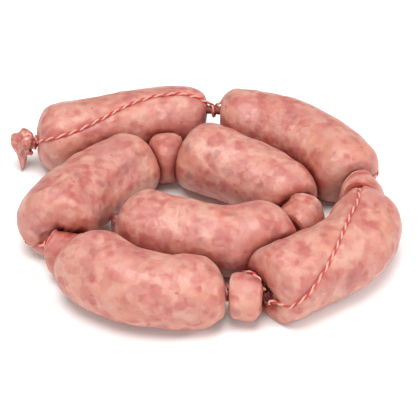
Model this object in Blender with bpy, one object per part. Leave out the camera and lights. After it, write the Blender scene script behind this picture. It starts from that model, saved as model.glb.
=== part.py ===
"""A string of raw pork sausages in natural casing, coiled on a flat surface and tied with baker's twine.

The string is a chain of seven full links and five short ones.  It starts at the knotted casing end (back left),
runs clockwise round the coil and ends at the inner link.  Every link is a body swept along its own bent centre line:
a belly with blunt round ends that draw in to a thin neck of twisted casing.  Links that lie against each other press
each other flat, and every link has a flat spot where it rests.

Frame: +Z up, z = 0 is the surface that the links lie on, -Y is the front, origin under the middle of the coil.
All sizes below are in millimetres.
"""
import bpy
import math
import numpy as np

MM = 0.001

# ---------------------------------------------------------------- driving sizes
SHIFT = (5.4, -6.2)          # moves the drawn plan so that the origin is under the middle of the coil

# necks between the links, along the string: x, y, height, half length of the neck
NECKS = [
    (-101.0, 58.5, 17.0, 2.2),    # knotted casing end
    (2.5, 81.0, 23.5, 4.0),
    (81.0, 17.0, 22.0, 2.2),
    (83.0, -1.5, 24.5, 2.5),
    (29.0, -69.5, 15.0, 3.0),
    (8.5, -66.5, 14.5, 2.2),
    (-69.5, -38.0, 17.5, 2.4),
    (-84.5, -29.0, 17.0, 2.6),
    (-35.5, 45.5, 15.0, 2.3),
    (-14.5, 47.0, 17.0, 2.3),
    (50.5, 1.0, 18.0, 3.1),
    (43.0, -17.5, 15.0, 2.2),
    (-48.5, -8.2, 14.5, 2.2),     # inner end of the string
]

# name, belly radius, taper, bow, skew of the bow, end bluntness at start and end, height of the belly's middle
LINKS = [
    ("link_back_left",   19.4, -0.07,  4.6, -3.4, 2.6, 2.2, 18.0),
    ("link_back_right",  20.0,  0.05, 15.7,  1.1, 2.3, 2.7, 18.6),
    ("link_short_right", 12.8,  0.00,  2.2,  0.0, 2.9, 2.9, 15.2),
    ("link_front_right", 20.4,  0.03, 13.4,  3.8, 2.3, 4.2, 18.9),
    ("link_short_front", 12.6,  0.00,  0.0,  0.0, 3.2, 3.2, 13.0),
    ("link_front_left",  19.8,  0.05, 15.0, -1.2, 2.6, 2.6, 18.4),
    ("link_short_left",  12.8,  0.00,  0.0,  0.0, 2.6, 2.6, 12.2),
    ("link_left",        20.7, -0.11,  8.4,  1.0, 3.0, 3.0, 19.2),
    ("link_short_back",  14.6,  0.00,  0.5,  0.0, 2.8, 2.8, 14.4),
    ("link_inner_back",  19.5, -0.11,  5.4, -1.2, 3.2, 2.4, 17.9),
    ("link_short_inner", 13.4,  0.00,  2.0,  0.0, 2.8, 2.8, 12.9),
    ("link_inner_front", 19.6,  0.02, 15.0,  1.8, 2.5, 2.6, 18.2),
]

WIDTH_SQUASH = 1.03          # links sag a little: wider ...
HEIGHT_SQUASH = 0.97         # ... than high
END_LENGTH = 0.85            # length of a round end, in belly radii
NECK_RADIUS = 2.4            # twisted casing
BEND_RELIEF = (5.5, 14.0)    # radii between which the hollow on the inner side of a bend runs out
NECK_PARTING = 0.2           # half the gap at the parting of two links, under the twine
CONTACT_GAP = 1.0            # between links pressed together
FLAT_HALF_ANGLE = 15.0       # half width of the flat spot underneath, degrees

TWINE_RADIUS = 0.7
TWINE_PITCH = 1.6            # between the turns round a neck
TWINE_LIFT = 0.7             # clearance of the twine over the casing
# the twine's lie on each link: its angle at the start and at the end (0 outer side, 90 top, 180 inner side), and the
# fractions of the link's length between which it goes over from one to the other
TWINE_LAY = {
    "link_back_left":   (143.0, 95.0, 0.0, 0.75),
    "link_back_right":  (20.0, -12.0, 0.0, 1.0),
    "link_short_right": (-25.0, -33.0, 0.0, 1.0),
    "link_front_right": (102.0, 8.0, 0.3, 1.0),
    "link_short_front": (100.0, 160.0, 0.1, 0.9),
    "link_front_left":  (176.0, 178.0, 0.0, 1.0),
    "link_short_left":  (-50.0, -50.0, 0.0, 1.0),
    "link_left":        (-30.0, -30.0, 0.0, 1.0),
    "link_short_back":  (-60.0, -60.0, 0.0, 1.0),
    "link_inner_back":  (-22.0, -36.0, 0.4, 1.0),
    "link_short_inner": (-45.0, -45.0, 0.0, 1.0),
    "link_inner_front": (175.0, 175.0, 0.0, 1.0),
}

COLUMNS_FULL, COLUMNS_SHORT, COLUMNS_TWINE = 16, 12, 5
END_RINGS_FULL, END_RINGS_SHORT = 6, 4
BELLY_RINGS_FULL, BELLY_RINGS_SHORT = 6, 1


# ---------------------------------------------------------------- centre lines and profiles
class Link:
    """One link: a centre line in plan, a radius along it and the height of its middle."""

    def __init__(self, index):
        (self.name, self.radius, self.taper, self.bow, self.skew,
         self.blunt_a, self.blunt_b, self.height) = LINKS[index]
        self.index = index
        self.full = self.radius > 15.0
        a, b = np.array(NECKS[index][:3]), np.array(NECKS[index + 1][:3])
        a[:2] += SHIFT
        b[:2] += SHIFT
        self.a, self.b = a, b
        t = np.linspace(0.0, 1.0, 241)
        chord = b[:2] - a[:2]
        side = np.array([-chord[1], chord[0]]) / np.linalg.norm(chord)
        offset = self.bow * 4 * t * (1 - t) + self.skew * 10.392 * t * (1 - t) * (1 - 2 * t)
        self.xy = a[:2] + chord * t[:, None] + side * offset[:, None]
        step = np.linalg.norm(np.diff(self.xy, axis=0), axis=1)
        self.s = np.concatenate([[0.0], np.cumsum(step)])
        self.length = self.s[-1]
        tangent = np.gradient(self.xy, self.s, axis=0)
        tangent /= np.linalg.norm(tangent, axis=1)[:, None]
        self.tangent = tangent
        self.neck_a, self.neck_b = NECKS[index][3], NECKS[index + 1][3]

    def belly(self, s):
        return self.radius * (1 + self.taper * (2 * np.clip(s / self.length, 0, 1) - 1))

    def profile(self, s):
        """Radius of the uncut body at the distance s along the link."""
        s = np.asarray(s, float)
        r = self.belly(s)
        out = r.copy()
        for dist, neck, blunt in ((s, self.neck_a, self.blunt_a), (self.length - s, self.neck_b, self.blunt_b)):
            reach = np.minimum(END_LENGTH * r, (self.length - self.neck_a - self.neck_b) / 2)
            u = np.clip((dist - neck) / reach, 0, 1)
            out = np.minimum(out, r * (1 - (1 - u) ** blunt) ** (1 / blunt))
        return np.maximum(out, NECK_RADIUS)

    def middle(self, s):
        """Height of the section's middle: the belly's, drawn to the neck's where the end draws in."""
        s = np.asarray(s, float)
        neck = np.where(s < self.length / 2, self.a[2], self.b[2])
        belly = self.height * (self.belly(s) / self.radius) if self.full else self.height
        wide = self.belly(s)
        return belly + (neck - belly) * (wide - self.profile(s)) / (wide - NECK_RADIUS)

    def plan(self, s):
        """Plan point and unit tangent at s, run on straight past both ends."""
        s = np.asarray(s, float)
        k = np.clip(s, 0, self.length)
        p = np.stack([np.interp(k, self.s, self.xy[:, i]) for i in (0, 1)], -1)
        t = np.stack([np.interp(k, self.s, self.tangent[:, i]) for i in (0, 1)], -1)
        t /= np.linalg.norm(t, axis=-1, keepdims=True)
        return p + t * (s - k)[..., None], t

    def point(self, s, angle, rho):
        """Point at the distance rho (in round section units) and the angle in degrees round the centre line."""
        s, angle, rho = np.broadcast_arrays(np.asarray(s, float), np.asarray(angle, float), np.asarray(rho, float))
        p, t = self.plan(s)
        left = np.stack([-t[..., 1], t[..., 0]], -1)
        a = np.radians(angle)
        xy = p + left * (WIDTH_SQUASH * rho * np.cos(a))[..., None]
        z = self.middle(s) + HEIGHT_SQUASH * rho * np.sin(a)
        return np.concatenate([xy, z[..., None]], -1)

    def make_field(self):
        """Signed distance to the profile curve, on a grid over (s, rho)."""
        reach, step = 34.0, 0.5
        gs = np.arange(-reach, self.length + reach + step, step)
        gr = np.arange(0.0, self.radius + reach + step, step)
        fine = np.unique(np.concatenate([
            np.linspace(0, self.length, 200),
            np.linspace(self.neck_a, self.neck_a + 6, 80),
            np.linspace(self.length - self.neck_b - 6, self.length - self.neck_b, 80)]))
        cs, cr = fine, self.profile(fine)
        a = np.stack([cs[:-1], cr[:-1]], -1)
        d = np.stack([cs[1:], cr[1:]], -1) - a
        field = np.empty((len(gs), len(gr)))
        for i, s in enumerate(gs):
            q = np.stack([np.full(len(gr), s), gr], -1)
            w = q[:, None] - a[None]
            k = np.clip((w * d).sum(-1) / np.maximum((d * d).sum(-1), 1e-12), 0, 1)
            dist = np.linalg.norm(w - k[..., None] * d, axis=-1).min(1)
            inside = (gr < self.profile(s)) & (0 <= s <= self.length)
            field[i] = np.where(inside, -dist, dist)
        self.grid = (gs[0], step, len(gs), len(gr), field)

    def distance(self, p):
        """Signed distance from points to the uncut body, negative inside."""
        p = np.atleast_2d(p)
        line_a = self.xy[:-1:4]
        line_b = self.xy[4::4]
        d = line_b - line_a
        n2 = (d * d).sum(1)
        w = p[:, None, :2] - line_a[None]
        k = (w * d).sum(-1) / n2
        low = np.zeros(len(d))
        high = np.ones(len(d))
        low[0], high[-1] = -1e3, 1e3
        k = np.clip(k, low, high)
        off = w - k[..., None] * d
        dist = np.linalg.norm(off, axis=-1)
        j = dist.argmin(1)
        rows = np.arange(len(p))
        s = self.s[:-1:4][j] + k[rows, j] * np.sqrt(n2[j])
        rho = np.hypot(dist[rows, j] / WIDTH_SQUASH, (p[:, 2] - self.middle(np.clip(s, 0, self.length))) / HEIGHT_SQUASH)
        s0, step, ns, nr, field = self.grid
        x = np.clip((s - s0) / step, 0, ns - 1.001)
        y = np.clip(rho / step, 0, nr - 1.001)
        i, j = x.astype(int), y.astype(int)
        u, v = x - i, y - j
        return ((1 - u) * (1 - v) * field[i, j] + u * (1 - v) * field[i + 1, j]
                + (1 - u) * v * field[i, j + 1] + u * v * field[i + 1, j + 1])


def kink(before, after):
    """Angle that the string turns through at a neck, positive to the left."""
    a, b = before.tangent[-1], after.tangent[0]
    return math.atan2(a[0] * b[1] - a[1] * b[0], float(a @ b))


def make_links():
    links = [Link(i) for i in range(len(LINKS))]
    for link in links:
        link.kink_a = link.kink_b = 0.0
        link.make_field()
    for before, after in zip(links, links[1:]):
        before.kink_b = after.kink_a = kink(before, after)
    return links


# ---------------------------------------------------------------- link surfaces
def columns(count):
    """Angles round a section, with two of them at the edges of the flat spot underneath."""
    first, last = 270.0 + FLAT_HALF_ANGLE, 270.0 - FLAT_HALF_ANGLE + 360.0
    return np.linspace(first, last, count)


def stations(link):
    """Distances along a link of its rings, close together where the ends curve."""
    count = END_RINGS_FULL if link.full else END_RINGS_SHORT
    middle = BELLY_RINGS_FULL if link.full else BELLY_RINGS_SHORT
    inner = link.length - link.neck_a - link.neck_b
    psi = np.linspace(0, math.pi / 2, count + 2)[1:-1]
    ends = []
    for neck, blunt, r in ((link.neck_a, link.blunt_a, link.belly(0.0)),
                           (link.neck_b, link.blunt_b, link.belly(link.length))):
        reach = min(END_LENGTH * float(r), inner / 2)
        u = 1 - np.cos(psi) ** (2 / blunt)
        ends.append((neck + reach * u, neck + reach))
    (sa, fa), (sb, fb) = ends
    belly = np.linspace(fa, link.length - fb, middle) if middle > 1 else np.array([(fa + link.length - fb) / 2])
    return np.concatenate([sa, belly, (link.length - sb)[::-1]])


def relief(link, s, angle):
    """Shift along the link that hollows an end on the inner side of a bend, so that its neck stays free."""
    rho = link.profile(s)
    left = rho * np.cos(np.radians(angle))
    u = np.clip((rho - BEND_RELIEF[0]) / (BEND_RELIEF[1] - BEND_RELIEF[0]), 0, 1)
    fade = 1 - u * u * (3 - 2 * u)
    start = np.maximum(left * np.tan(link.kink_a / 2), 0) * fade
    end = np.maximum(left * np.tan(link.kink_b / 2), 0) * fade
    return np.where(s < link.length / 2, start, -end)


def pressed(link, s, angle, others, steps=26):
    """Radius of the real surface: pressed back by its neighbours and by the surface it lies on."""
    full = link.profile(s)
    low, high = np.zeros_like(full), np.ones_like(full)
    place = s + relief(link, s, angle)

    def inside(k):
        p = link.point(place, angle, full * k)
        own = link.distance(p)
        ok = np.ones(len(k), bool)
        for o in others:
            ok &= own <= o.distance(p) - CONTACT_GAP
        return ok

    free = inside(high)
    for _ in range(steps):
        mid = (low + high) / 2
        ok = inside(mid)
        low = np.where(ok, mid, low)
        high = np.where(ok, high, mid)
    return full * np.where(free, 1.0, low)


def close_to(link, links, margin=4.0):
    """The links whose bodies come near this one."""
    p = link.point(np.linspace(4, link.length - 4, 24)[:, None], np.arange(0, 360, 20)[None, :],
                   link.profile(np.linspace(4, link.length - 4, 24))[:, None]).reshape(-1, 3)
    return [o for o in links if o is not link and float(o.distance(p).min()) < margin]


def link_mesh(link, links):
    angles = columns(COLUMNS_FULL if link.full else COLUMNS_SHORT)
    s = stations(link)
    grid_s, grid_a = np.meshgrid(s, angles, indexing="ij")
    rho = pressed(link, grid_s.ravel(), grid_a.ravel(), close_to(link, links)).reshape(grid_s.shape)
    rings = link.point(grid_s + relief(link, grid_s, grid_a), grid_a, rho)
    rings[..., 2] = np.maximum(rings[..., 2], 0.0)

    def neck(dist, at_start):
        """Ring round a neck, cut along the plane that halves the bend."""
        left = NECK_RADIUS * WIDTH_SQUASH * np.cos(np.radians(angles))
        if at_start:
            return link.point(dist + left * math.tan(link.kink_a / 2), angles, NECK_RADIUS)
        return link.point(link.length - dist - left * math.tan(link.kink_b / 2), angles, NECK_RADIUS)

    rows = ([neck(NECK_PARTING, True), neck(link.neck_a, True)] + list(rings)
            + [neck(link.neck_b, False), neck(NECK_PARTING, False)])
    return ring_solid(rows)


def ring_solid(rows):
    """Closed solid through rings of equal count, with fans at both ends."""
    n = len(rows[0])
    verts = [tuple(p) for row in rows for p in row]
    faces = []
    for r in range(len(rows) - 1):
        for c in range(n):
            d = (c + 1) % n
            faces.append((r * n + c, r * n + d, (r + 1) * n + d, (r + 1) * n + c))
    first, last = len(verts), len(verts) + 1
    verts.append(tuple(np.mean(rows[0], axis=0)))
    verts.append(tuple(np.mean(rows[-1], axis=0)))
    m = (len(rows) - 1) * n
    for c in range(n):
        d = (c + 1) % n
        faces.append((d, c, first))
        faces.append((m + c, m + d, last))
    return verts, faces


# ---------------------------------------------------------------- twine
def lay_angle(link, t):
    """Angle of the twine round a link at the fraction t of its length."""
    start, end, t0, t1 = TWINE_LAY[link.name]
    u = np.clip((t - t0) / (t1 - t0), 0, 1)
    return start + (end - start) * u * u * (3 - 2 * u)


def run_points(link, spacing):
    """Twine over one link, from the shoulder of its start to the shoulder of its end."""
    lift = TWINE_RADIUS + TWINE_LIFT
    reach = (link.length - link.neck_a - link.neck_b) / 2
    psi = np.radians([28.0, 52.0, 74.0])
    pts = []
    for neck, blunt, r, sign, base in ((link.neck_a, link.blunt_a, float(link.belly(0.0)), 1, 0.0),
                                       (link.neck_b, link.blunt_b, float(link.belly(link.length)), -1, link.length)):
        along = min(END_LENGTH * r, reach)
        dist = neck + along * (1 - np.cos(psi) ** (2 / blunt))
        rad = r * np.sin(psi) ** (2 / blunt)
        d_s = np.gradient(dist, psi)
        d_r = np.gradient(rad, psi)
        norm = np.hypot(d_s, d_r)
        pts.append((base + sign * (dist - lift * d_r / norm), rad + lift * d_s / norm, neck + along))
    (s0, r0, e0), (s1, r1, e1) = pts
    count = max(2, int(round((link.length - e0 - e1) / spacing)) + 1)
    mid = np.linspace(e0, link.length - e1, count) if link.length - e0 - e1 > 3 else np.array([(e0 + link.length - e1) / 2])
    s = np.concatenate([s0, mid, s1[::-1]])
    r = np.concatenate([r0, link.belly(mid) + lift, r1[::-1]])
    return s, r


def twine_path(links):
    """Points of the twine: turns round every neck, joined over the links."""
    path = []
    for i in range(len(NECKS)):
        before = links[i - 1] if i > 0 else None
        after = links[i] if i < len(links) else None
        centre = (after.a if after is not None else before.b).copy()
        t_in = before.tangent[-1] if before is not None else after.tangent[0]
        t_out = after.tangent[0] if after is not None else before.tangent[-1]
        t = t_in + t_out
        half_bend = math.acos(min(np.linalg.norm(t) / 2, 1.0))
        wrap_radius = NECK_RADIUS + 0.4 + TWINE_RADIUS + 1.3 * math.tan(half_bend)
        t = t / np.linalg.norm(t)
        left = np.array([-t[1], t[0], 0.0])
        axis = np.array([t[0], t[1], 0.0])
        up = np.array([0.0, 0.0, 1.0])
        arrive = lay_angle(before, 1.0) if before is not None else lay_angle(after, 0.0) - 10.0
        leave = lay_angle(after, 0.0) if after is not None else arrive - 30.0
        sweep = (leave - arrive + 180.0) % 360.0 - 180.0
        sweep += -360.0 if sweep > 20.0 else 360.0
        count = int(math.ceil(abs(sweep) / 45.0))
        width = TWINE_PITCH * max(abs(sweep) - 20.0, 0.0) / 360.0
        for k in range(count + 1):
            f = k / count
            a = math.radians(arrive + sweep * f)
            path.append(centre + axis * (width * (f - 0.5)) + wrap_radius * (left * math.cos(a) + up * math.sin(a)))
        if after is not None:
            s, r = run_points(after, 7.5)
            ang = lay_angle(after, np.clip(s / after.length, 0, 1))
            path.extend(list(after.point(s, ang, r)))
    return np.array(path)


def tube(path, radius, sides):
    """Tube along a path, its sections carried along without twisting."""
    path = np.asarray(path, float)
    tang = np.gradient(path, axis=0)
    tang /= np.linalg.norm(tang, axis=1)[:, None]
    u = np.cross(tang[0], [0.0, 0.0, 1.0])
    if np.linalg.norm(u) < 0.1:
        u = np.cross(tang[0], [1.0, 0.0, 0.0])
    rows = []
    for p, t in zip(path, tang):
        u = u - t * (u @ t)
        u /= np.linalg.norm(u)
        v = np.cross(t, u)
        a = np.arange(sides) * 2 * math.pi / sides
        rows.append(p + radius * (np.cos(a)[:, None] * u + np.sin(a)[:, None] * v))
    return ring_solid(rows)


# ---------------------------------------------------------------- casing ends
def casing_knot(links):
    """Knotted bulb of casing at the string's outer end, its loose tail hanging to the surface."""
    first = links[0]
    c = first.a.copy()
    back = -np.array([first.tangent[0][0], first.tangent[0][1], 0.0])
    side = np.array([-back[1], back[0], 0.0])
    # centre line of the bulb and tail: distance outwards, distance to the front, height, radius across and upright
    spine = [
        (0.25, 0.0, 0.0, 2.2, 2.2),
        (2.2, 0.0, 0.0, 2.3, 2.4),
        (3.0, 0.0, 0.3, 4.6, 5.0),
        (4.8, 0.0, 0.7, 6.5, 7.1),
        (7.2, 0.2, 0.2, 6.8, 7.5),
        (9.2, 0.6, -1.6, 5.6, 5.8),
        (9.7, 1.0, -4.6, 4.6, 3.8),
        (9.0, 1.6, -8.0, 3.5, 2.7),
        (8.2, 2.4, -11.0, 2.6, 2.0),
        (7.8, 3.4, -13.6, 2.0, 1.5),
        (8.4, 5.0, -15.4, 1.3, 0.9),
    ]
    pts = np.array([c + back * d + np.array([0.0, -1.0, 0.0]) * f + np.array([0, 0, z]) for d, f, z, _, _ in spine])
    tang = np.gradient(pts, axis=0)
    tang /= np.linalg.norm(tang, axis=1)[:, None]
    rows = []
    u = side - tang[0] * (side @ tang[0])
    for k, (p, t) in enumerate(zip(pts, tang)):
        u = u - t * (u @ t)
        u /= np.linalg.norm(u)
        v = np.cross(t, u)
        a = np.arange(10) * 2 * math.pi / 10
        fold = 1 + 0.08 * np.cos(5 * a) * (1 if 2 < k < 7 else 0)
        row = p + (spine[k][3] * fold * np.cos(a))[:, None] * u + (spine[k][4] * fold * np.sin(a))[:, None] * v
        row[:, 2] = np.maximum(row[:, 2], 0.25)
        rows.append(row)
    return ring_solid(rows)


def casing_stub(links):
    """Short cut end of casing past the last neck, drooping."""
    last = links[-1]
    c = last.b.copy()
    out = np.array([last.tangent[-1][0], last.tangent[-1][1], 0.0])
    side = np.array([-out[1], out[0], 0.0])
    spine = [(0.25, 0.0, 2.2), (2.1, 0.0, 2.3), (3.2, -1.0, 2.6), (3.7, -3.2, 2.7), (3.8, -6.0, 2.4), (3.7, -9.0, 2.1),
             (3.5, -11.6, 1.5)]
    pts = np.array([c + out * d + np.array([0, 0, z]) for d, z, _ in spine])
    tang = np.gradient(pts, axis=0)
    tang /= np.linalg.norm(tang, axis=1)[:, None]
    rows = []
    u = side
    for k, (p, t) in enumerate(zip(pts, tang)):
        u = u - t * (u @ t)
        u /= np.linalg.norm(u)
        v = np.cross(t, u)
        a = np.arange(8) * 2 * math.pi / 8
        rows.append(p + spine[k][2] * (np.cos(a)[:, None] * u + np.sin(a)[:, None] * v))
    return ring_solid(rows)


# ---------------------------------------------------------------- objects
def material(name, colour, roughness):
    mat = bpy.data.materials.new(name)
    mat.use_nodes = True
    shader = mat.node_tree.nodes["Principled BSDF"]
    shader.inputs["Base Color"].default_value = (*colour, 1.0)
    shader.inputs["Roughness"].default_value = roughness
    shader.inputs["Metallic"].default_value = 0.0
    return mat


def add_object(name, verts, faces, mat):
    mesh = bpy.data.meshes.new(name)
    mesh.from_pydata([tuple(c * MM for c in v) for v in verts], [], faces)
    mesh.update()
    mesh.shade_smooth()
    mesh.materials.append(mat)
    obj = bpy.data.objects.new(name, mesh)
    bpy.context.scene.collection.objects.link(obj)
    return obj


def main():
    for obj in list(bpy.data.objects):
        bpy.data.objects.remove(obj, do_unlink=True)
    sausage = material("raw_sausage", (0.66, 0.33, 0.26), 0.38)
    casing = material("casing", (0.62, 0.30, 0.24), 0.42)
    string = material("bakers_twine", (0.72, 0.18, 0.16), 0.8)
    links = make_links()
    for link in links:
        add_object(link.name, *link_mesh(link, links), sausage)
    add_object("casing_knot", *casing_knot(links), casing)
    add_object("casing_stub", *casing_stub(links), casing)
    add_object("twine", *tube(twine_path(links), TWINE_RADIUS, COLUMNS_TWINE), string)


main()
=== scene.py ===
"""The looks of the string of raw sausage links: fine link surfaces, mottled meat under a moist casing, two-strand
baker's twine, knotted casing end.  All shapes come from the same sizes as the CAD part; millimetres until the meshes
are made."""
import math
import bpy
import numpy as np
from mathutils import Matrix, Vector


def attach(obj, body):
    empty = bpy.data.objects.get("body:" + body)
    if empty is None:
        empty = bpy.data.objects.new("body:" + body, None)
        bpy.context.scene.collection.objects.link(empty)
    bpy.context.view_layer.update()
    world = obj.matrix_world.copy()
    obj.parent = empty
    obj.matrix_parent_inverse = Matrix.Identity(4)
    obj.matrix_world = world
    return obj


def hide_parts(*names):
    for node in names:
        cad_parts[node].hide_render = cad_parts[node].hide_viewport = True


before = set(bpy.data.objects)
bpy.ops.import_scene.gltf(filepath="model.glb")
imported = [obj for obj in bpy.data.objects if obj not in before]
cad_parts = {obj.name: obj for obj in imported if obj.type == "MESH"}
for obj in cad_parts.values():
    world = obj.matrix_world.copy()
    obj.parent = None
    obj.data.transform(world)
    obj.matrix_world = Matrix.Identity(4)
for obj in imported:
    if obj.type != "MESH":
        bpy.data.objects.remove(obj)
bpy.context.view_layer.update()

MM = 0.001

# ---------------------------------------------------------------- driving sizes
SHIFT = (5.4, -6.2)          # moves the drawn plan so that the origin is under the middle of the coil

# necks between the links, along the string: x, y, height, half length of the neck
NECKS = [
    (-101.0, 58.5, 17.0, 2.2),    # knotted casing end
    (2.5, 81.0, 23.5, 4.0),
    (81.0, 17.0, 22.0, 2.2),
    (83.0, -1.5, 24.5, 2.5),
    (29.0, -69.5, 15.0, 3.0),
    (8.5, -66.5, 14.5, 2.2),
    (-69.5, -38.0, 17.5, 2.4),
    (-84.5, -29.0, 17.0, 2.6),
    (-35.5, 45.5, 15.0, 2.3),
    (-14.5, 47.0, 17.0, 2.3),
    (50.5, 1.0, 18.0, 3.1),
    (43.0, -17.5, 15.0, 2.2),
    (-48.5, -8.2, 14.5, 2.2),     # inner end of the string
]

# name, belly radius, taper, bow, skew of the bow, end bluntness at start and end, height of the belly's middle
LINKS = [
    ("link_back_left",   19.4, -0.07,  4.6, -3.4, 2.6, 2.2, 18.0),
    ("link_back_right",  20.0,  0.05, 15.7,  1.1, 2.3, 2.7, 18.6),
    ("link_short_right", 12.8,  0.00,  2.2,  0.0, 2.9, 2.9, 15.2),
    ("link_front_right", 20.4,  0.03, 13.4,  3.8, 2.3, 4.2, 18.9),
    ("link_short_front", 12.6,  0.00,  0.0,  0.0, 3.2, 3.2, 13.0),
    ("link_front_left",  19.8,  0.05, 15.0, -1.2, 2.6, 2.6, 18.4),
    ("link_short_left",  12.8,  0.00,  0.0,  0.0, 2.6, 2.6, 12.2),
    ("link_left",        20.7, -0.11,  8.4,  1.0, 3.0, 3.0, 19.2),
    ("link_short_back",  14.6,  0.00,  0.5,  0.0, 2.8, 2.8, 14.4),
    ("link_inner_back",  19.5, -0.11,  5.4, -1.2, 3.2, 2.4, 17.9),
    ("link_short_inner", 13.4,  0.00,  2.0,  0.0, 2.8, 2.8, 12.9),
    ("link_inner_front", 19.6,  0.02, 15.0,  1.8, 2.5, 2.6, 18.2),
]

WIDTH_SQUASH = 1.03          # links sag a little: wider ...
HEIGHT_SQUASH = 0.97         # ... than high
END_LENGTH = 0.85            # length of a round end, in belly radii
NECK_RADIUS = 2.4            # twisted casing
BEND_RELIEF = (5.5, 14.0)    # radii between which the hollow on the inner side of a bend runs out
NECK_PARTING = 0.2           # half the gap at the parting of two links, under the twine
CONTACT_GAP = 1.0            # between links pressed together
FLAT_HALF_ANGLE = 15.0       # half width of the flat spot underneath, degrees

TWINE_RADIUS = 0.7
TWINE_PITCH = 1.6            # between the turns round a neck
TWINE_LIFT = 0.7             # clearance of the twine over the casing
# the twine's lie on each link: its angle at the start and at the end (0 outer side, 90 top, 180 inner side), and the
# fractions of the link's length between which it goes over from one to the other
TWINE_LAY = {
    "link_back_left":   (143.0, 95.0, 0.0, 0.75),
    "link_back_right":  (20.0, -12.0, 0.0, 1.0),
    "link_short_right": (-25.0, -33.0, 0.0, 1.0),
    "link_front_right": (102.0, 8.0, 0.3, 1.0),
    "link_short_front": (100.0, 160.0, 0.1, 0.9),
    "link_front_left":  (176.0, 178.0, 0.0, 1.0),
    "link_short_left":  (-50.0, -50.0, 0.0, 1.0),
    "link_left":        (-30.0, -30.0, 0.0, 1.0),
    "link_short_back":  (-60.0, -60.0, 0.0, 1.0),
    "link_inner_back":  (-22.0, -36.0, 0.4, 1.0),
    "link_short_inner": (-45.0, -45.0, 0.0, 1.0),
    "link_inner_front": (175.0, 175.0, 0.0, 1.0),
}


SKIN_GAP = 0.30              # between links pressed together, on the fine surfaces
GROOVE_DEPTH = 0.95          # the twine pulls into the casing ...
GROOVE_WIDTH = 1.7           # ... over about this width
LAY = 7.2                    # twist of the two strands: length of one turn
STRAND_RADIUS = 0.55
STRAND_OFFSET = 0.42

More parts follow.
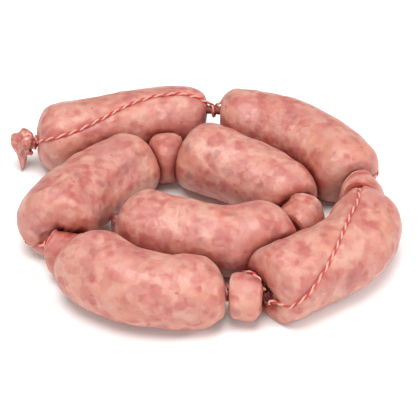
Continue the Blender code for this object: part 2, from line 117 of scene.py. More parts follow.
# ---------------------------------------------------------------- centre lines and profiles
class Link:
    """One link: a centre line in plan, a radius along it and the height of its middle, as in the CAD part."""

    def __init__(self, index):
        (self.name, self.radius, self.taper, self.bow, self.skew,
         self.blunt_a, self.blunt_b, self.height) = LINKS[index]
        self.index = index
        self.full = self.radius > 15.0
        a, b = np.array(NECKS[index][:3]), np.array(NECKS[index + 1][:3])
        a[:2] += SHIFT
        b[:2] += SHIFT
        self.a, self.b = a, b
        t = np.linspace(0.0, 1.0, 241)
        chord = b[:2] - a[:2]
        side = np.array([-chord[1], chord[0]]) / np.linalg.norm(chord)
        offset = self.bow * 4 * t * (1 - t) + self.skew * 10.392 * t * (1 - t) * (1 - 2 * t)
        self.xy = a[:2] + chord * t[:, None] + side * offset[:, None]
        step = np.linalg.norm(np.diff(self.xy, axis=0), axis=1)
        self.s = np.concatenate([[0.0], np.cumsum(step)])
        self.length = self.s[-1]
        tangent = np.gradient(self.xy, self.s, axis=0)
        tangent /= np.linalg.norm(tangent, axis=1)[:, None]
        self.tangent = tangent
        self.neck_a, self.neck_b = NECKS[index][3], NECKS[index + 1][3]

    def belly(self, s):
        return self.radius * (1 + self.taper * (2 * np.clip(s / self.length, 0, 1) - 1))

    def profile(self, s):
        """Radius of the uncut body at the distance s along the link."""
        s = np.asarray(s, float)
        r = self.belly(s)
        out = r.copy()
        for dist, neck, blunt in ((s, self.neck_a, self.blunt_a), (self.length - s, self.neck_b, self.blunt_b)):
            reach = np.minimum(END_LENGTH * r, (self.length - self.neck_a - self.neck_b) / 2)
            u = np.clip((dist - neck) / reach, 0, 1)
            out = np.minimum(out, r * (1 - (1 - u) ** blunt) ** (1 / blunt))
        return np.maximum(out, NECK_RADIUS)

    def middle(self, s):
        """Height of the section's middle: the belly's, drawn to the neck's where the end draws in."""
        s = np.asarray(s, float)
        neck = np.where(s < self.length / 2, self.a[2], self.b[2])
        belly = self.height * (self.belly(s) / self.radius) if self.full else self.height
        wide = self.belly(s)
        return belly + (neck - belly) * (wide - self.profile(s)) / (wide - NECK_RADIUS)

    def plan(self, s):
        """Plan point and unit tangent at s, run on straight past both ends."""
        s = np.asarray(s, float)
        k = np.clip(s, 0, self.length)
        p = np.stack([np.interp(k, self.s, self.xy[:, i]) for i in (0, 1)], -1)
        t = np.stack([np.interp(k, self.s, self.tangent[:, i]) for i in (0, 1)], -1)
        t /= np.linalg.norm(t, axis=-1, keepdims=True)
        return p + t * (s - k)[..., None], t

    def point(self, s, angle, rho):
        """Point at the distance rho (in round section units) and the angle in degrees round the centre line."""
        s, angle, rho = np.broadcast_arrays(np.asarray(s, float), np.asarray(angle, float), np.asarray(rho, float))
        p, t = self.plan(s)
        left = np.stack([-t[..., 1], t[..., 0]], -1)
        a = np.radians(angle)
        xy = p + left * (WIDTH_SQUASH * rho * np.cos(a))[..., None]
        z = self.middle(s) + HEIGHT_SQUASH * rho * np.sin(a)
        return np.concatenate([xy, z[..., None]], -1)

    def make_field(self):
        """Signed distance to the profile curve, on a grid over (s, rho)."""
        reach, step = 34.0, 0.5
        gs = np.arange(-reach, self.length + reach + step, step)
        gr = np.arange(0.0, self.radius + reach + step, step)
        fine = np.unique(np.concatenate([
            np.linspace(0, self.length, 200),
            np.linspace(self.neck_a, self.neck_a + 6, 80),
            np.linspace(self.length - self.neck_b - 6, self.length - self.neck_b, 80)]))
        cs, cr = fine, self.profile(fine)
        a = np.stack([cs[:-1], cr[:-1]], -1)
        d = np.stack([cs[1:], cr[1:]], -1) - a
        field = np.empty((len(gs), len(gr)))
        for i, s in enumerate(gs):
            q = np.stack([np.full(len(gr), s), gr], -1)
            w = q[:, None] - a[None]
            k = np.clip((w * d).sum(-1) / np.maximum((d * d).sum(-1), 1e-12), 0, 1)
            dist = np.linalg.norm(w - k[..., None] * d, axis=-1).min(1)
            inside = (gr < self.profile(s)) & (0 <= s <= self.length)
            field[i] = np.where(inside, -dist, dist)
        self.grid = (gs[0], step, len(gs), len(gr), field)

    def distance(self, p):
        """Signed distance from points to the uncut body, negative inside."""
        p = np.atleast_2d(p)
        line_a = self.xy[:-1:4]
        line_b = self.xy[4::4]
        d = line_b - line_a
        n2 = (d * d).sum(1)
        w = p[:, None, :2] - line_a[None]
        k = (w * d).sum(-1) / n2
        low = np.zeros(len(d))
        high = np.ones(len(d))
        low[0], high[-1] = -1e3, 1e3
        k = np.clip(k, low, high)
        off = w - k[..., None] * d
        dist = np.linalg.norm(off, axis=-1)
        j = dist.argmin(1)
        rows = np.arange(len(p))
        s = self.s[:-1:4][j] + k[rows, j] * np.sqrt(n2[j])
        rho = np.hypot(dist[rows, j] / WIDTH_SQUASH, (p[:, 2] - self.middle(np.clip(s, 0, self.length))) / HEIGHT_SQUASH)
        s0, step, ns, nr, field = self.grid
        x = np.clip((s - s0) / step, 0, ns - 1.001)
        y = np.clip(rho / step, 0, nr - 1.001)
        i, j = x.astype(int), y.astype(int)
        u, v = x - i, y - j
        return ((1 - u) * (1 - v) * field[i, j] + u * (1 - v) * field[i + 1, j]
                + (1 - u) * v * field[i, j + 1] + u * v * field[i + 1, j + 1])


def kink(before, after):
    """Angle that the string turns through at a neck, positive to the left."""
    a, b = before.tangent[-1], after.tangent[0]
    return math.atan2(a[0] * b[1] - a[1] * b[0], float(a @ b))


def make_links():
    links = [Link(i) for i in range(len(LINKS))]
    for link in links:
        link.kink_a = link.kink_b = 0.0
        link.make_field()
    for before, after in zip(links, links[1:]):
        before.kink_b = after.kink_a = kink(before, after)
    return links



def relief(link, s, angle):
    """Shift along the link that hollows an end on the inner side of a bend, so that its neck stays free."""
    rho = link.profile(s)
    left = rho * np.cos(np.radians(angle))
    u = np.clip((rho - BEND_RELIEF[0]) / (BEND_RELIEF[1] - BEND_RELIEF[0]), 0, 1)
    fade = 1 - u * u * (3 - 2 * u)
    tilt_a, tilt_b = left * np.tan(link.kink_a / 2), left * np.tan(link.kink_b / 2)
    start = np.maximum(tilt_a, 0) * fade
    end = np.maximum(tilt_b, 0) * fade
    # the belly swells up to the parting with the next link, round a hollow that holds the tied neck
    start = start - swell(link, 0, s, rho, angle, start + np.minimum(tilt_a, 0))
    end = end - swell(link, 1, link.length - s, rho, angle, end + np.minimum(tilt_b, 0))
    return np.where(s < link.length / 2, start, -end)


OPEN_ENDS = {("link_back_left", 0): 0.75, ("link_back_left", 1): 0.0, ("link_back_right", 0): 0.25,
             ("link_inner_front", 1): 0.3}


def swell(link, end, dist, rho, angle, tilt):
    """How far the surface at one end reaches towards the parting plane, beyond the plain round end."""
    neck = (link.neck_a, link.neck_b)[end]
    amount = OPEN_ENDS.get((link.name, end), 1.0)
    t = 0.0 if end == 0 else 1.0
    off = (angle - lay_angle(link, t) + 180.0) % 360.0 - 180.0
    notch = 1 - np.exp(-(np.radians(off) * np.maximum(rho, 1.0) / 2.1) ** 2) * (1 - smooth(7.0, 12.0, rho))
    rim = smooth(WRAP_ROOM[0], WRAP_ROOM[1], rho)
    room = np.clip(neck - 0.5 * SKIN_GAP - 0.15, 0, None)
    reach = 0.9 * link.radius if link.full else 0.42 * link.radius
    if not link.full:
        amount *= 0.85
    return amount * room * rim * notch * np.exp(-((dist - neck) / reach) ** 2)


WRAP_ROOM = (4.6, 8.2)       # radii between which the hollow round a neck opens out


def pressed_factor(link, s, angle, others, gap, steps=16):
    """How far the real surface is pressed back from the full round one, by its neighbours."""
    full = link.profile(s)
    low, high = np.zeros_like(full), np.ones_like(full)
    place = s + relief(link, s, angle)

    def inside(k):
        p = link.point(place, angle, full * k)
        own = link.distance(p)
        ok = np.ones(len(k), bool)
        for o in others:
            ok &= own <= o.distance(p) - gap
        return ok

    free = inside(high)
    for _ in range(steps):
        mid = (low + high) / 2
        ok = inside(mid)
        low = np.where(ok, mid, low)
        high = np.where(ok, high, mid)
    return np.where(free, 1.0, low)


def close_to(link, links, margin=4.0):
    p = link.point(np.linspace(4, link.length - 4, 24)[:, None], np.arange(0, 360, 20)[None, :],
                   link.profile(np.linspace(4, link.length - 4, 24))[:, None]).reshape(-1, 3)
    return [o for o in links if o is not link and float(o.distance(p).min()) < margin]


# ---------------------------------------------------------------- irregularity
class Lumps:
    """A smooth random field in space: a sum of plane waves of about one wavelength."""

    def __init__(self, seed, wavelength, waves=22):
        rng = np.random.RandomState(seed)
        d = rng.normal(size=(waves, 3))
        d /= np.linalg.norm(d, axis=1)[:, None]
        self.k = d * (2 * math.pi / (wavelength * rng.uniform(0.75, 1.35, waves)))[:, None]
        self.phase = rng.uniform(0, 2 * math.pi, waves)
        self.scale = math.sqrt(2.0 / waves)

    def __call__(self, p):
        return self.scale * np.sin(p @ self.k.T + self.phase).sum(-1)


SWELL = Lumps(11, 30.0)
CHUNK = Lumps(12, 12.0)
GRAIN = Lumps(13, 5.0)
FINE = Lumps(14, 2.4)


def smooth(a, b, x):
    u = np.clip((x - a) / (b - a), 0, 1)
    return u * u * (3 - 2 * u)


def lay_angle(link, t):
    """Angle of the twine round a link at the fraction t of its length."""
    start, end, t0, t1 = TWINE_LAY[link.name]
    u = np.clip((t - t0) / (t1 - t0), 0, 1)
    return start + (end - start) * u * u * (3 - 2 * u)


# ---------------------------------------------------------------- fine link surfaces
def fine_stations(link, cap_rings, step):
    inner = link.length - link.neck_a - link.neck_b
    ends = []
    for neck, blunt, r in ((link.neck_a, link.blunt_a, float(link.belly(0.0))),
                           (link.neck_b, link.blunt_b, float(link.belly(link.length)))):
        reach = min(END_LENGTH * r, inner / 2)
        # even steps along the profile curve of the end
        psi = np.linspace(0, math.pi / 2, 2000)
        u = 1 - np.cos(psi) ** (2 / blunt)
        y = np.sin(psi) ** (2 / blunt)
        arc = np.concatenate([[0], np.cumsum(np.hypot(np.diff(u) * reach, np.diff(y) * r))])
        start = np.interp(NECK_RADIUS / r, y, arc)
        at = start + (arc[-1] - start) * (np.arange(cap_rings) + 0.4) / cap_rings
        ends.append((neck + reach * np.interp(at, arc, u), neck + reach))
    (sa, fa), (sb, fb) = ends
    gap = link.length - fa - fb
    count = max(2, int(round(gap / step)) + 1)
    belly = np.linspace(fa, link.length - fb, count)[1:-1] if gap > step else np.array([])
    return np.concatenate([sa, belly, (link.length - sb)[::-1]])


def fine_link(link, links):
    n = 144 if link.full else 96
    s = fine_stations(link, 34 if link.full else 26, 1.25)
    # pressing, found on a coarser grid and spread to the fine one
    ca = np.linspace(0, 360, 73)[:-1]
    cs = s[np.unique(np.linspace(0, len(s) - 1, 62).round().astype(int))]
    gs, ga = np.meshgrid(cs, ca, indexing="ij")
    others = close_to(link, links)
    k = pressed_factor(link, gs.ravel(), ga.ravel(), others, SKIN_GAP).reshape(gs.shape)
    for _ in range(1):       # soften the edge of the contact a little
        pad = np.concatenate([k[:, -1:], k, k[:, :1]], 1)
        soft = (pad[:, :-2] + 2 * pad[:, 1:-1] + pad[:, 2:]) / 4
        k = np.minimum(k, soft)
    angles = np.arange(n) * 360.0 / n
    kk = np.empty((len(s), n))
    wrap = np.concatenate([k, k[:, :1]], 1)
    cols = np.array([np.interp(angles, np.append(ca, 360.0), row) for row in wrap])
    for j in range(n):
        kk[:, j] = np.interp(s, cs, cols[:, j])
    S, A = np.meshgrid(s, angles, indexing="ij")
    base = link.profile(S)
    rho = base * kk
    place = S + relief(link, S, A)
    p = link.point(place, A, rho)
    free = smooth(0.90, 0.995, kk)                       # little irregularity where it is pressed
    away = smooth(3.0, 9.0, base)
    lump = (0.26 * SWELL(p) + 0.16 * CHUNK(p) + 0.05 * GRAIN(p)) * away
    lump = np.where(lump > 0, lump * (0.25 + 0.75 * free), lump)
    # gathered casing: pleats that run in to the necks
    d_end = np.minimum(S - link.neck_a, link.length - link.neck_b - S)
    rad = np.radians(A)
    seed = link.index * 1.7
    pleat = (np.cos(9 * rad + seed + 1.3 * np.sin(rad + seed)) + 0.8 * np.cos(14 * rad + 2.1 * seed)
             + 0.6 * np.cos(21 * rad - seed + 0.9 * np.sin(2 * rad)))
    pleat = -np.abs(pleat) * 0.30 + 0.18
    strength = smooth(2.4, 4.6, base) * (1 - smooth(6.5, 12.5, base)) * (d_end < 14)
    lump = lump + pleat * strength
    # the groove that the twine pulls into the casing
    t = S / link.length
    off = (A - lay_angle(link, t) + 180.0) % 360.0 - 180.0
    slope = np.gradient(np.radians(lay_angle(link, s / link.length)), s) * link.belly(s)
    across = np.radians(off) * rho / np.sqrt(1 + slope[:, None] ** 2)
    groove = -GROOVE_DEPTH * np.exp(-(across / GROOVE_WIDTH) ** 2) + 0.16 * np.exp(-((np.abs(across) - 3.6) / 1.6) ** 2)
    lump = lump + groove * smooth(5.0, 10.0, base)
    if link.name == "link_left":       # the crest and the flatter flank where it was folded round its neighbour
        window = smooth(0.30, 0.48, t) * (1 - smooth(0.86, 0.98, t))
        arc = np.radians(A - 122.0 - 10.0 * np.sin(5.0 * t)) * rho
        lump = lump + window * (1.25 * np.exp(-(arc / 3.6) ** 2) - 1.1 * np.exp(-((arc - 9.0) / 5.0) ** 2))
    p = link.point(place, A, rho + lump)
    p[..., 2] = np.maximum(p[..., 2], 0.0)

    def neck(dist, at_start):
        """A ring of the twisted casing of a neck."""
        turn = 34.0 * dist * (1 if at_start else -1)
        r = NECK_RADIUS * (1 + 0.13 * np.cos(5 * np.radians(angles - turn)) + 0.06 * np.cos(8 * np.radians(angles - turn) + 1.0))
        left = r * WIDTH_SQUASH * np.cos(np.radians(angles))
        if at_start:
            q = link.point(dist + left * math.tan(link.kink_a / 2), angles, r)
        else:
            q = link.point(link.length - dist - left * math.tan(link.kink_b / 2), angles, r)
        q[..., 2] += (link.a[2] if at_start else link.b[2]) - q[..., 2].mean()
        return q

    # distance to the neighbouring links, kept as the nearness attribute that paints shade into the crevices
    near = np.full(p.shape[:2], 99.0)
    for o in others:
        near = np.minimum(near, o.distance(p.reshape(-1, 3)).reshape(near.shape))
    # painted shade on the neck rings: nearness 0 paints them darkest, 2.6 at the open ends somewhat lighter
    neck_shade_pads = [np.full((9, n), 2.6 if (link.name, e) in OPEN_ENDS else 0.0) for e in (0, 1)]
    near = np.concatenate([neck_shade_pads[0], near, neck_shade_pads[1]])
    na = [neck(d, True) for d in np.linspace(NECK_PARTING, link.neck_a, 9)]
    nb = [neck(d, False) for d in np.linspace(link.neck_b, NECK_PARTING, 9)]
    return grid_solid(na + list(p) + nb) + (np.append(np.maximum(near, 0).ravel(), [0.0, 0.0]),)


def grid_solid(rows):
    """Closed surface through rings of equal count, as vertices and faces in arrays."""
    rows = np.array(rows)
    m, n = rows.shape[:2]
    verts = np.concatenate([rows.reshape(-1, 3), rows[0].mean(0)[None], rows[-1].mean(0)[None]])
    r, c = np.meshgrid(np.arange(m - 1), np.arange(n), indexing="ij")
    d = (c + 1) % n
    quads = np.stack([r * n + c, r * n + d, (r + 1) * n + d, (r + 1) * n + c], -1).reshape(-1, 4)
    c = np.arange(n)
    d = (c + 1) % n
    first, last = m * n, m * n + 1
    tris = np.concatenate([np.stack([d, c, np.full(n, first)], -1),
                           np.stack([(m - 1) * n + c, (m - 1) * n + d, np.full(n, last)], -1)])
    return verts, quads, tris


# ---------------------------------------------------------------- twine
def run_points(link, links):
    """Twine over one link, lying in its groove."""
    inner = link.length - link.neck_a - link.neck_b
    pts = []
    for neck, blunt, r, sign, base in ((link.neck_a, link.blunt_a, float(link.belly(0.0)), 1, 0.0),
                                       (link.neck_b, link.blunt_b, float(link.belly(link.length)), -1, link.length)):
        along = min(END_LENGTH * r, inner / 2)
        psi = np.radians([16.0, 24.0, 32.0, 41.0, 50.0, 59.0, 68.0, 77.0, 85.0])
        dist = neck + along * (1 - np.cos(psi) ** (2 / blunt))
        rad = r * np.sin(psi) ** (2 / blunt)
        d_s, d_r = np.gradient(dist, psi), np.gradient(rad, psi)
        norm = np.hypot(d_s, d_r)
        lift = TWINE_RADIUS + 0.1 - (GROOVE_DEPTH - 0.1) * smooth(5.0, 10.0, rad)
        pts.append((base + sign * (dist - lift * d_r / norm), rad + lift * d_s / norm, neck + along))
    (s0, r0, e0), (s1, r1, e1) = pts
    gap = link.length - e0 - e1
    count = max(2, int(round(gap / 3.0)) + 1)
    mid = np.linspace(e0, link.length - e1, count) if gap > 3 else np.array([(e0 + link.length - e1) / 2])
    s = np.concatenate([s0, mid, s1[::-1]])
    r = np.concatenate([r0, link.belly(mid) + TWINE_RADIUS + 0.1 - (GROOVE_DEPTH - 0.1), r1[::-1]])
    ang = lay_angle(link, np.clip(s / link.length, 0, 1))
    inner_s = np.clip(s, link.neck_a, link.length - link.neck_b)
    s = s + 0.8 * relief(link, inner_s, ang)
    q = link.point(s, ang, link.profile(np.clip(s, 0, link.length)))
    away = smooth(3.0, 9.0, link.profile(np.clip(s, 0, link.length)))
    lump = (0.26 * SWELL(q) + 0.16 * CHUNK(q) + 0.05 * GRAIN(q)) * away
    return link.point(s, ang, r + np.where(np.abs(s - link.length / 2) < link.length / 2 - link.neck_a - 4, lump, 0))


def twine_path(links):
    path = []
    for i in range(len(NECKS)):
        before = links[i - 1] if i > 0 else None
        after = links[i] if i < len(links) else None
        centre = (after.a if after is not None else before.b).copy()
        t_in = before.tangent[-1] if before is not None else after.tangent[0]
        t_out = after.tangent[0] if after is not None else before.tangent[-1]
        t = t_in + t_out
        half_bend = math.acos(min(np.linalg.norm(t) / 2, 1.0))
        wrap_radius = NECK_RADIUS + 0.25 + TWINE_RADIUS + 1.3 * math.tan(half_bend)
        t = t / np.linalg.norm(t)
        left = np.array([-t[1], t[0], 0.0])
        axis = np.array([t[0], t[1], 0.0])
        up = np.array([0.0, 0.0, 1.0])
        arrive = lay_angle(before, 1.0) if before is not None else lay_angle(after, 0.0) - 10.0
        leave = lay_angle(after, 0.0) if after is not None else arrive - 30.0
        sweep = (leave - arrive + 180.0) % 360.0 - 180.0
        sweep += -360.0 if sweep > 20.0 else 360.0
        count = int(math.ceil(abs(sweep) / 15.0))
        width = TWINE_PITCH * max(abs(sweep) - 20.0, 0.0) / 360.0
        for k in range(count + 1):
            f = k / count
            a = math.radians(arrive + sweep * f)
            path.append(centre + axis * (width * (f - 0.5)) + wrap_radius * (left * math.cos(a) + up * math.sin(a)))
        if after is not None:
            path.extend(list(run_points(after, links)))
    return np.array(path)


def resample(path, step):
    """Round the corners of a path and space its points evenly."""
    for _ in range(2):       # corner cutting
        q = np.empty((2 * len(path) - 2, 3))
        q[0::2] = 0.75 * path[:-1] + 0.25 * path[1:]
        q[1::2] = 0.25 * path[:-1] + 0.75 * path[1:]
        path = np.concatenate([path[:1], q, path[-1:]])
    s = np.concatenate([[0], np.cumsum(np.linalg.norm(np.diff(path, axis=0), axis=1))])
    at = np.linspace(0, s[-1], int(s[-1] / step) + 1)
    return np.stack([np.interp(at, s, path[:, i]) for i in range(3)], -1), at


def frames(path):
    """Unit tangents and two crossways directions carried along without twisting."""
    tang = np.gradient(path, axis=0)
    tang /= np.linalg.norm(tang, axis=1)[:, None]
    us = np.empty_like(path)
    u = np.cross(tang[0], [0.0, 0.0, 1.0])
    for i, t in enumerate(tang):
        u = u - t * (u @ t)
        u /= np.linalg.norm(u)
        us[i] = u
    return tang, us, np.cross(tang, us)


def strand(path, at, start_angle, sides=9):
    """One strand of the twine, laid round the path."""
    tang, u, v = frames(path)
    a = start_angle - 2 * math.pi * at / LAY
    centre = path + STRAND_OFFSET * (np.cos(a)[:, None] * u + np.sin(a)[:, None] * v)
    tang, u, v = frames(centre)
    b = np.arange(sides) * 2 * math.pi / sides
    wob = 1 + 0.05 * np.sin(at * 5.1 + start_angle)[:, None]
    ring = (centre[:, None, :] + STRAND_RADIUS * wob[:, :, None]
            * (np.cos(b)[None, :, None] * u[:, None, :] + np.sin(b)[None, :, None] * v[:, None, :]))
    return grid_solid(ring)


# ---------------------------------------------------------------- casing ends
def swept(pts, radii, side, rings, columns, shape):
    """Closed body along a curve through pts, with a section shape(fraction, angles) that scales its radii."""
    pts, radii = np.array(pts, float), np.array(radii, float)
    f = np.linspace(0, 1, len(pts))
    g = np.linspace(0, 1, rings)
    fine = np.stack([np.interp(g, f, pts[:, i]) for i in range(3)], -1)
    rr = np.stack([np.interp(g, f, radii[:, i]) for i in range(2)], -1)
    for _ in range(3):
        fine[1:-1] = (fine[:-2] + 2 * fine[1:-1] + fine[2:]) / 4
        rr[1:-1] = (rr[:-2] + 2 * rr[1:-1] + rr[2:]) / 4
    tang = np.gradient(fine, axis=0)
    tang /= np.linalg.norm(tang, axis=1)[:, None]
    u = side - tang[0] * (side @ tang[0])
    a = np.arange(columns) * 2 * math.pi / columns
    rows = []
    for i, t in enumerate(tang):
        u = u - t * (u @ t)
        u /= np.linalg.norm(u)
        v = np.cross(t, u)
        k = shape(g[i], a)
        rows.append(fine[i] + (rr[i, 0] * k * np.cos(a))[:, None] * u + (rr[i, 1] * k * np.sin(a))[:, None] * v)
    return np.array(rows)


def casing_knot(links):
    """The gathered and knotted casing at the outer end, with its loose tail."""
    first = links[0]
    c = first.a.copy()
    back = -np.array([first.tangent[0][0], first.tangent[0][1], 0.0])
    side = np.array([-back[1], back[0], 0.0])
    spine = [
        (0.25, 0.0, 0.0, 2.1, 2.1),
        (1.4, 0.0, 0.0, 2.2, 2.2),
        (2.2, 0.0, 0.3, 4.4, 4.8),
        (3.7, 0.0, 0.9, 6.8, 7.4),
        (5.9, 0.2, 0.3, 7.0, 7.5),
        (7.7, 0.6, -1.8, 5.8, 5.8),
        (8.2, 1.0, -4.6, 4.6, 4.0),
        (7.9, 1.6, -8.0, 3.5, 2.8),
        (7.7, 2.4, -11.0, 2.6, 2.0),
        (7.9, 3.4, -13.6, 1.8, 1.4),
        (8.6, 5.0, -15.4, 0.8, 0.6),
    ]
    pts = [c + back * d + np.array([0.0, -1.0, 0.0]) * f + np.array([0, 0, z]) for d, f, z, _, _ in spine]
    radii = [(rx, rz) for _, _, _, rx, rz in spine]

    def shape(g, a):
        fold = 0.17 * smooth(0.08, 0.3, g)
        return (1 + fold * (np.abs(np.cos(2.5 * a + 4 * g)) - 0.62) + fold * 0.45 * np.cos(5 * a - 7 * g + 1)
                + 0.025 * np.cos(11 * a + 9 * g))

    rows = swept(pts, radii, side, 64, 64, shape)
    mid = rows.mean(1)[:, None, :]
    lump = 0.75 * CHUNK(rows * 1.7) + 0.10 * GRAIN(rows * 1.3)
    g = np.linspace(0, 1, len(rows))[:, None]
    out = rows - mid
    rows = mid + out * (1 + lump * 0.11 * smooth(0.1, 0.25, g))[..., None]
    rows[..., 2] = np.maximum(rows[..., 2], 0.15)
    return grid_solid(rows)


def casing_stub(links):
    last = links[-1]
    c = last.b.copy()
    out = np.array([last.tangent[-1][0], last.tangent[-1][1], 0.0])
    side = np.array([-out[1], out[0], 0.0])
    spine = [(0.25, 0.0, 2.0), (2.1, 0.0, 2.1), (3.2, -1.0, 2.4), (3.7, -3.2, 2.5), (3.8, -6.0, 2.2), (3.7, -9.0, 1.9),
             (3.5, -11.6, 1.2)]
    pts = [c + out * d + np.array([0, 0, z]) for d, z, _ in spine]
    rows = swept(pts, [(r, r) for _, _, r in spine], side, 40, 40,
                 lambda g, a: 1 + 0.12 * np.cos(4 * a + 5 * g) + 0.07 * np.cos(7 * a - 6 * g))
    return grid_solid(rows)


# ---------------------------------------------------------------- materials
ALBEDO = 0.64


def meat(*c):
    """A tone of the meat as it looks in full light, as a surface colour."""
    r, g, b, a = lin(*c)
    return (r * ALBEDO, g * ALBEDO * 0.83, b * ALBEDO * 0.81, 1.0)


def lin(*c):
    return tuple((x / 12.92 if x <= 0.04045 else ((x + 0.055) / 1.055) ** 2.4) for x in (v / 255.0 for v in c)) + (1.0,)


class Tree:
    """Short calls for making shader nodes."""

    def __init__(self, name):
        self.mat = bpy.data.materials.new(name)
        self.mat.use_nodes = True
        self.t = self.mat.node_tree
        self.shader = self.t.nodes["Principled BSDF"]

    def node(self, kind, **props):
        n = self.t.nodes.new(kind)
        for k, v in props.items():
            setattr(n, k, v)
        return n

    def put(self, socket, value):
        if isinstance(value, bpy.types.NodeSocket):
            self.t.links.new(value, socket)
        else:
            socket.default_value = value

    def space(self, scale=1000.0, stretch=(1, 1, 1)):
        c = self.node("ShaderNodeTexCoord")
        m = self.node("ShaderNodeVectorMath", operation="MULTIPLY")
        self.put(m.inputs[0], c.outputs["Object"])
        m.inputs[1].default_value = tuple(scale * v for v in stretch)
        return m.outputs[0]

    def noise(self, vector, scale, detail=2.0, rough=0.5, distortion=0.0):
        n = self.node("ShaderNodeTexNoise", noise_dimensions="3D")
        self.put(n.inputs["Vector"], vector)
        n.inputs["Scale"].default_value = scale
        n.inputs["Detail"].default_value = detail
        n.inputs["Roughness"].default_value = rough
        n.inputs["Distortion"].default_value = distortion
        return n

    def cells(self, vector, scale, smoothness=None, randomness=1.0):
        n = self.node("ShaderNodeTexVoronoi", voronoi_dimensions="3D", feature="F1" if smoothness is None else "SMOOTH_F1")
        self.put(n.inputs["Vector"], vector)
        n.inputs["Scale"].default_value = scale
        n.inputs["Randomness"].default_value = randomness
        if smoothness is not None:
            n.inputs["Smoothness"].default_value = smoothness
        return n

    def warp(self, vector, scale, amount, detail=2.0):
        n = self.noise(vector, scale, detail)
        a = self.node("ShaderNodeVectorMath", operation="SUBTRACT")
        self.put(a.inputs[0], n.outputs["Color"])
        a.inputs[1].default_value = (0.5, 0.5, 0.5)
        b = self.node("ShaderNodeVectorMath", operation="SCALE")
        self.put(b.inputs[0], a.outputs[0])
        b.inputs["Scale"].default_value = amount
        c = self.node("ShaderNodeVectorMath", operation="ADD")
        self.put(c.inputs[0], vector)
        self.put(c.inputs[1], b.outputs[0])
        return c.outputs[0]

    def shift(self, vector, by):
        c = self.node("ShaderNodeVectorMath", operation="ADD")
        self.put(c.inputs[0], vector)
        c.inputs[1].default_value = by
        return c.outputs[0]

    def ramp(self, value, stops, mode="LINEAR"):
        n = self.node("ShaderNodeValToRGB")
        n.color_ramp.interpolation = mode
        e = n.color_ramp.elements
        while len(e) < len(stops):
            e.new(0.5)
        for el, (pos, col) in zip(e, stops):
            el.position = pos
            el.color = col if len(col) == 4 else (col[0],) * 3 + (1,)
        self.put(n.inputs[0], value)
        return n.outputs[0]

    def level(self, value, low, high, to_low=0.0, to_high=1.0, smoothly=True):
        n = self.node("ShaderNodeMapRange", interpolation_type="SMOOTHSTEP" if smoothly else "LINEAR")
        self.put(n.inputs["Value"], value)
        for k, v in (("From Min", low), ("From Max", high), ("To Min", to_low), ("To Max", to_high)):
            n.inputs[k].default_value = v
        return n.outputs["Result"]

    def maths(self, op, a, b=0.5):
        n = self.node("ShaderNodeMath", operation=op)
        self.put(n.inputs[0], a)
        self.put(n.inputs[1], b)
        return n.outputs[0]

    def mix(self, factor, a, b, mode="MIX"):
        n = self.node("ShaderNodeMix", data_type="RGBA", blend_type=mode)
        self.put(n.inputs[0], factor)
        self.put(n.inputs[6], a)
        self.put(n.inputs[7], b)
        return n.outputs[2]

    def split(self, colour):
        n = self.node("ShaderNodeSeparateColor")
        self.put(n.inputs[0], colour)
        return n.outputs

    def spots(self, vector, scale, inner, outer, chance):
        """Mask of separate soft spots, one in some of the cells."""
        v = self.cells(vector, scale)
        near = self.level(v.outputs["Distance"], inner, outer, 1.0, 0.0)
        pick = self.level(self.split(v.outputs["Color"])[0], 1 - chance - 0.02, 1 - chance + 0.02)
        return self.maths("MULTIPLY", near, pick)

    def bump(self, height, distance, strength, normal=None):
        n = self.node("ShaderNodeBump")
        self.put(n.inputs["Height"], height)
        n.inputs["Distance"].default_value = distance
        n.inputs["Strength"].default_value = strength
        if normal is not None:
            self.put(n.inputs["Normal"], normal)
        return n.outputs[0]


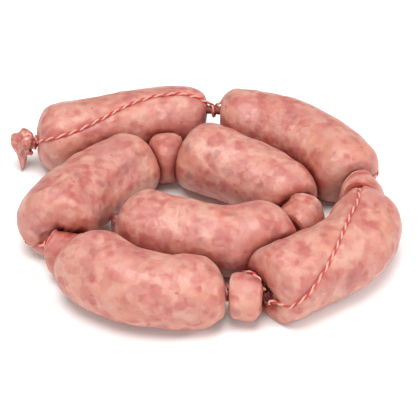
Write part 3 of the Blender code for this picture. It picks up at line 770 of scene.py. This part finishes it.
def sausage_material():
    k = Tree("raw_sausage")
    p = k.space()
    w = k.warp(p, 0.16, 4.5)
    # coarse ground meat and fat: patches of several tones
    a = k.split(k.cells(w, 0.13, 0.65).outputs["Color"])[0]
    b = k.split(k.cells(k.shift(w, (31.0, 7.0, 3.0)), 0.26, 0.5).outputs["Color"])[1]
    tones = [(0.22, meat(242, 199, 178)), (0.38, meat(240, 186, 164)), (0.50, meat(232, 165, 147)),
             (0.62, meat(222, 144, 131)), (0.76, meat(206, 119, 113))]
    tones2 = [(0.20, meat(244, 204, 184)), (0.42, meat(236, 176, 156)), (0.58, meat(226, 151, 137)),
              (0.78, meat(210, 124, 119))]
    col = k.mix(0.45, k.ramp(a, tones), k.ramp(b, tones2))
    # broad drift between pinker and more peach-coloured places
    broad = k.noise(k.shift(p, (5.0, 60.0, 0.0)), 0.045, 2.0).outputs["Fac"]
    col = k.mix(k.level(broad, 0.52, 0.68, 0.0, 0.55), col, meat(240, 178, 148))
    col = k.mix(k.level(broad, 0.46, 0.32, 0.0, 0.50), col, meat(214, 142, 138))
    # single pale pieces of fat, red flecks, mauve ovals
    w2 = k.warp(k.warp(p, 0.14, 5.0), 0.42, 3.4, 3.0)
    fat = k.spots(k.shift(w2, (11.0, 0.0, 5.0)), 0.125, 0.10, 0.50, 0.55)
    col = k.mix(k.maths("MULTIPLY", fat, 0.62), col, meat(243, 204, 184))
    lean = k.spots(k.shift(w2, (0.0, 21.0, 9.0)), 0.135, 0.06, 0.50, 0.55)
    col = k.mix(k.maths("MULTIPLY", lean, 0.85), col, meat(205, 108, 104))
    mauve = k.spots(k.shift(w2, (3.0, 2.0, 40.0)), 0.085, 0.06, 0.38, 0.45)
    col = k.mix(k.maths("MULTIPLY", mauve, 0.70), col, meat(176, 108, 112))
    red = k.spots(k.shift(w2, (17.0, 9.0, 70.0)), 0.16, 0.08, 0.20, 0.22)
    col = k.mix(k.maths("MULTIPLY", red, 0.70), col, meat(196, 74, 70))
    # fine grain of the mince
    grain = k.noise(p, 0.9, 3.0, 0.6).outputs["Fac"]
    col = k.mix(k.level(grain, 0.35, 0.65, 0.0, 0.16), col, meat(208, 128, 116))
    # casing: a slightly milky film over everything
    veil = k.noise(k.shift(p, (80.0, 0.0, 0.0)), 0.09, 3.0).outputs["Fac"]
    col = k.mix(k.level(veil, 0.35, 0.65, 0.04, 0.20), col, meat(236, 182, 168))
    # painted shade: the meat colour darkened and reddened towards the next link, a broad tint within 12 mm and a dark
    # red within 5 mm
    near = k.node("ShaderNodeAttribute", attribute_name="nearness").outputs["Fac"]
    # painted shade, broad: a reddish multiply tint that fades out by 12 mm from the next link
    wide = k.level(near, 0.0, 12.0, 0.80, 0.0)
    col = k.mix(wide, col, k.mix(1.0, col, lin(216, 122, 100), "MULTIPLY"))
    # painted shade, tight: up to 93% of a dark red near the contacts, fading out by 5 mm
    painted_crevice_shade = k.level(near, 0.2, 5.0, 0.93, 0.0)
    col = k.mix(painted_crevice_shade, col, meat(104, 24, 16))
    s = k.shader
    k.put(s.inputs["Base Color"], col)
    rough = k.noise(p, 0.22, 3.0).outputs["Fac"]
    k.put(s.inputs["Roughness"], k.level(rough, 0.3, 0.7, 0.42, 0.58))
    s.inputs["Specular IOR Level"].default_value = 0.5
    s.inputs["Subsurface Weight"].default_value = 0.55
    s.inputs["Subsurface Radius"].default_value = (1.0, 0.30, 0.20)
    s.inputs["Subsurface Scale"].default_value = 0.0050
    s.inputs["Coat Weight"].default_value = 0.18
    s.inputs["Coat Roughness"].default_value = 0.30
    h1 = k.cells(w, 0.30, 0.8).outputs["Distance"]
    n1 = k.bump(h1, 0.0010, 0.35)
    n2 = k.bump(k.noise(p, 0.35, 4.0, 0.55).outputs["Fac"], 0.0010, 0.30, n1)
    k.put(s.inputs["Normal"], n2)
    return k.mat


def casing_material():
    k = Tree("casing")
    p = k.space()
    w = k.warp(p, 0.5, 1.6)
    a = k.noise(w, 0.5, 3.0, 0.55).outputs["Fac"]
    col = k.ramp(a, [(0.30, meat(238, 190, 172)), (0.48, meat(228, 150, 134)), (0.62, meat(208, 112, 102)), (0.78, meat(186, 84, 78))])
    pale = k.spots(k.shift(w, (3.0, 9.0, 1.0)), 0.30, 0.15, 0.45, 0.5)
    col = k.mix(k.maths("MULTIPLY", pale, 0.5), col, meat(242, 202, 186))
    s = k.shader
    k.put(s.inputs["Base Color"], col)
    k.put(s.inputs["Roughness"], k.level(a, 0.3, 0.7, 0.30, 0.46))
    s.inputs["Subsurface Weight"].default_value = 0.30
    s.inputs["Subsurface Radius"].default_value = (1.0, 0.38, 0.26)
    s.inputs["Subsurface Scale"].default_value = 0.0025
    s.inputs["Coat Weight"].default_value = 0.5
    s.inputs["Coat Roughness"].default_value = 0.16
    k.put(s.inputs["Normal"], k.bump(k.noise(p, 1.3, 3.0, 0.6).outputs["Fac"], 0.0004, 0.35))
    return k.mat


def twine_material(name, low, high):
    k = Tree(name)
    p = k.space()
    fibre = k.noise(k.warp(p, 1.4, 0.8), 3.2, 3.0, 0.6).outputs["Fac"]
    soak = k.noise(p, 0.12, 2.0).outputs["Fac"]
    col = k.mix(k.level(fibre, 0.3, 0.7), low, high)
    col = k.mix(k.level(soak, 0.45, 0.65, 0.0, 0.25), col, lin(206, 120, 108))
    s = k.shader
    k.put(s.inputs["Base Color"], col)
    k.put(s.inputs["Roughness"], k.level(fibre, 0.3, 0.7, 0.55, 0.80))
    s.inputs["Sheen Weight"].default_value = 0.15
    k.put(s.inputs["Normal"], k.bump(k.noise(p, 4.0, 2.0, 0.6).outputs["Fac"], 0.0002, 0.5))
    return k.mat


def floor_material():
    k = Tree("floor_pale")
    s = k.shader
    n = k.noise(k.space(1.0), 3.0, 2.0).outputs["Fac"]
    k.put(s.inputs["Base Color"], k.mix(n, lin(250, 250, 250), lin(248, 248, 248)))
    s.inputs["Roughness"].default_value = 0.75
    s.inputs["Specular IOR Level"].default_value = 0.1
    return k.mat


# ---------------------------------------------------------------- objects
def piece(name, solid, mat, slot, *nodes):
    verts, quads, tris = solid[:3]
    mesh = bpy.data.meshes.new(name)
    mesh.from_pydata((verts * MM).tolist(), [], quads.tolist() + tris.tolist())
    mesh.update()
    mesh.shade_smooth()
    if len(solid) > 3:                  # nearness of the next link, in millimetres: drives the painted shade in the crevices
        layer = mesh.attributes.new("nearness", "FLOAT", "POINT")
        layer.data.foreach_set("value", np.minimum(solid[3], 40.0).astype(np.float32))
    mesh.materials.append(mat)
    obj = bpy.data.objects.new(name, mesh)
    bpy.context.scene.collection.objects.link(obj)
    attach(obj, "root")
    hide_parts(*nodes)
    return obj


def light(name, place, target, size, power, colour):
    data = bpy.data.lights.new(name, "AREA")
    data.shape = "DISK"
    data.size = size
    data.energy = power
    data.color = colour
    obj = bpy.data.objects.new(name, data)
    bpy.context.scene.collection.objects.link(obj)
    obj.location = place
    obj.rotation_euler = (Vector(target) - Vector(place)).to_track_quat("-Z", "Y").to_euler()
    return obj


def main():
    # camera: 40 degrees down from the front, a long lens
    target = Vector((SHIFT[0] * MM, SHIFT[1] * MM, 0.015))
    e = math.radians(40.0)
    look = Vector((0.0, math.cos(e), -math.sin(e)))
    data = bpy.data.cameras.new("camera")
    data.lens = 50.0
    data.sensor_width = 2 * 50.0 * 210.0 / 1545.45
    data.clip_start = 0.01
    camera = bpy.data.objects.new("camera", data)
    bpy.context.scene.collection.objects.link(camera)
    camera.location = target - look * 0.85
    camera.rotation_euler = look.to_track_quat("-Z", "Y").to_euler()
    bpy.context.scene.camera = camera

    sausage = sausage_material()
    casing = casing_material()
    red = twine_material("twine_red", lin(172, 24, 26), lin(200, 58, 54))
    white = twine_material("twine_white", lin(204, 142, 124), lin(222, 168, 150))

    links = make_links()
    for link in links:
        piece(link.name.replace("link_", "sausage_"), fine_link(link, links), sausage, "sausage", link.name)
    path, at = resample(twine_path(links), 0.4)
    piece("twine_red", strand(path, at, 0.0), red, "twine", "twine")
    piece("twine_white", strand(path, at, math.pi), white, "twine", "twine")
    piece("knot_of_casing", casing_knot(links), casing, "casing", "casing_knot")
    piece("stub_of_casing", casing_stub(links), casing, "casing", "casing_stub")

    # pale floor, soft studio light
    mesh = bpy.data.meshes.new("floor")
    h = 4.0
    mesh.from_pydata([(-h, -h, 0), (h, -h, 0), (h, h, 0), (-h, h, 0)], [], [(0, 1, 2, 3)])
    floor = bpy.data.objects.new("floor", mesh)
    floor.location.z = -0.0002
    mesh.materials.append(floor_material())
    bpy.context.scene.collection.objects.link(floor)
    light("overhead", (-0.10, -0.15, 1.25), (0, 0, 0), 1.0, 17.5, (1.0, 0.99, 0.985))
    light("front", (-0.25, -1.25, 0.55), (0, 0, 0), 1.1, 6.5, (1.0, 0.985, 0.97))
    light("side", (1.05, -0.10, 0.75), (0, 0, 0), 0.45, 5.5, (1.0, 0.97, 0.97))
    world = bpy.data.worlds.new("studio")
    bpy.context.scene.world = world
    world.use_nodes = True
    world.node_tree.nodes["Background"].inputs[0].default_value = (1.0, 1.0, 1.0, 1.0)
    world.node_tree.nodes["Background"].inputs[1].default_value = 0.35
    bpy.context.scene.view_settings.view_transform = "Standard"


main()
